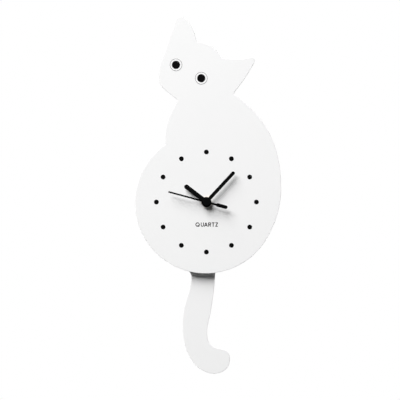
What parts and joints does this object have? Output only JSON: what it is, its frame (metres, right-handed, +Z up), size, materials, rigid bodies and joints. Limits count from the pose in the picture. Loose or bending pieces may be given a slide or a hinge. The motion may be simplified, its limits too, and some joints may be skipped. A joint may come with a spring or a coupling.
{
  "type": "pendulum wall clock",
  "caption": "Wall clock cut from white sheet steel as a sitting cat, with a quartz movement behind it and a tail that swings as the pendulum.",
  "frame": {"origin": "centre of the hanger eye at its wall side, where a nail or screw leaves it", "axes": "+Z up, +X to the viewer's right, +Y from the dial toward the wall"},
  "size_m": [0.2192, 0.0299, 0.5364],
  "materials": {
    "white_coat": "matt powder coat",
    "black_ink": "printed, satin",
    "grey_ink": "printed, satin",
    "white_ink": "printed, satin",
    "black_hand": "black lacquer, satin",
    "brass": "turned",
    "black_case": "moulded, fine texture",
    "rubber": "soft",
    "steel": "zinc plated",
    "white_gear": "moulded acetal",
    "natural_plate": "moulded",
    "knob_plastic": "moulded",
    "ferrite": "sintered",
    "copper": "enamelled wire",
    "bobbin": "moulded",
    "board": "solder mask",
    "chip": "epoxy",
    "battery_label": "printed sleeve",
    "battery_metal": "nickel plated"
  },
  "bodies": {
    "movement_and_cat": {"cat_plate": "white_coat", "hour_dots": "black_ink", "eye_pupils": "black_ink", "eye_rings": "grey_ink", "eye_whites": "white_ink", "dial_word": "black_ink", "threaded_bushing": "brass", "brass_washer": "brass", "hex_nut": "brass", "rubber_washer": "rubber", "case_front": "black_case", "case_back": "black_case", "case_screws": "steel", "train_plate": "natural_plate", "train_bridge": "natural_plate", "train_screws": "steel", "motor_stator": "steel", "coil_core": "steel", "coil_bobbin": "bobbin", "coil_winding": "copper", "coil_screws": "steel", "coil_leads": "copper", "circuit_board": "board", "chip_blob": "chip", "crystal_can": "battery_metal", "positive_contact": "steel", "negative_spring": "steel", "negative_contact": "steel", "drive_board": "board", "drive_pins": "black_case", "drive_bobbin": "bobbin", "drive_winding": "copper", "drive_chip": "chip", "pendulum_pin": "steel"},
    "seconds": {"second_hand": "black_hand", "seconds_arbor": "steel", "seconds_wheel": "white_gear"},
    "rotor": {"rotor_magnet": "ferrite", "rotor_pinion": "white_gear"},
    "intermediate": {"intermediate_wheel": "white_gear"},
    "third": {"third_wheel": "white_gear"},
    "centre": {"centre_wheel": "white_gear"},
    "minutes": {"minute_hand": "black_hand", "minute_tube": "brass", "clutch_washer": "steel"},
    "motion": {"motion_wheel": "white_gear"},
    "hours": {"hour_hand": "black_hand", "hour_wheel": "white_gear"},
    "knob": {"setting_knob": "knob_plastic"},
    "pendulum": {"pendulum_arm": "natural_plate", "pendulum_magnet": "ferrite", "tail_hook": "steel", "hook_rivets": "brass"},
    "tail": {"cat_tail": "white_coat"},
    "battery": {"battery_shell": "battery_label", "battery_cap": "battery_metal", "battery_base": "battery_metal"}
  },
  "joints": [
    {"name": "seconds_spin", "type": "hinge", "parent": "movement_and_cat", "child": "seconds", "pos_m": [0, -0.0195, -0.04], "axis": [0, 1, 0], "continuous": true},
    {"name": "rotor_spin", "type": "hinge", "parent": "movement_and_cat", "child": "rotor", "pos_m": [0.01636, -0.0195, -0.0432], "axis": [0, 1, 0], "continuous": true},
    {"name": "intermediate_spin", "type": "hinge", "parent": "movement_and_cat", "child": "intermediate", "pos_m": [0.00856, -0.0195, -0.04182], "axis": [0, 1, 0], "continuous": true},
    {"name": "third_spin", "type": "hinge", "parent": "movement_and_cat", "child": "third", "pos_m": [-0.00998, -0.0195, -0.04363], "axis": [0, 1, 0], "continuous": true},
    {"name": "centre_spin", "type": "hinge", "parent": "movement_and_cat", "child": "centre", "pos_m": [0, -0.0195, -0.04], "axis": [0, 1, 0], "continuous": true},
    {"name": "minute_spin", "type": "hinge", "parent": "movement_and_cat", "child": "minutes", "pos_m": [0, -0.0195, -0.04], "axis": [0, 1, 0], "continuous": true},
    {"name": "motion_spin", "type": "hinge", "parent": "movement_and_cat", "child": "motion", "pos_m": [0, -0.0195, -0.0316], "axis": [0, 1, 0], "continuous": true},
    {"name": "hour_spin", "type": "hinge", "parent": "movement_and_cat", "child": "hours", "pos_m": [0, -0.0195, -0.04], "axis": [0, 1, 0], "continuous": true},
    {"name": "knob_spin", "type": "hinge", "parent": "movement_and_cat", "child": "knob", "pos_m": [0, -0.0195, -0.0232], "axis": [0, 1, 0], "continuous": true},
    {"name": "pendulum_swing", "type": "hinge", "parent": "movement_and_cat", "child": "pendulum", "pos_m": [0, -0.0085, -0.083], "axis": [0, 1, 0], "range_deg": [-10.8, 5.2]},
    {"name": "tail_tilt", "type": "hinge", "parent": "pendulum", "child": "tail", "pos_m": [-0.00234, -0.00815, -0.13094], "axis": [0.9988, 0, -0.0488], "range_deg": [-5, 2.4]},
    {"name": "battery_slide", "type": "slide", "parent": "movement_and_cat", "child": "battery", "axis": [0, 1, 0], "range_m": [0, 0.022]}
  ],
  "couplings": [
    {"joint": "rotor_spin", "follows": "seconds_spin", "ratio": 30},
    {"joint": "intermediate_spin", "follows": "seconds_spin", "ratio": -6},
    {"joint": "third_spin", "follows": "seconds_spin", "ratio": -0.13333},
    {"joint": "centre_spin", "follows": "seconds_spin", "ratio": 0.016667},
    {"joint": "motion_spin", "follows": "minute_spin", "ratio": -0.33333},
    {"joint": "hour_spin", "follows": "minute_spin", "ratio": 0.083333},
    {"joint": "knob_spin", "follows": "minute_spin", "ratio": 1}
  ]
}
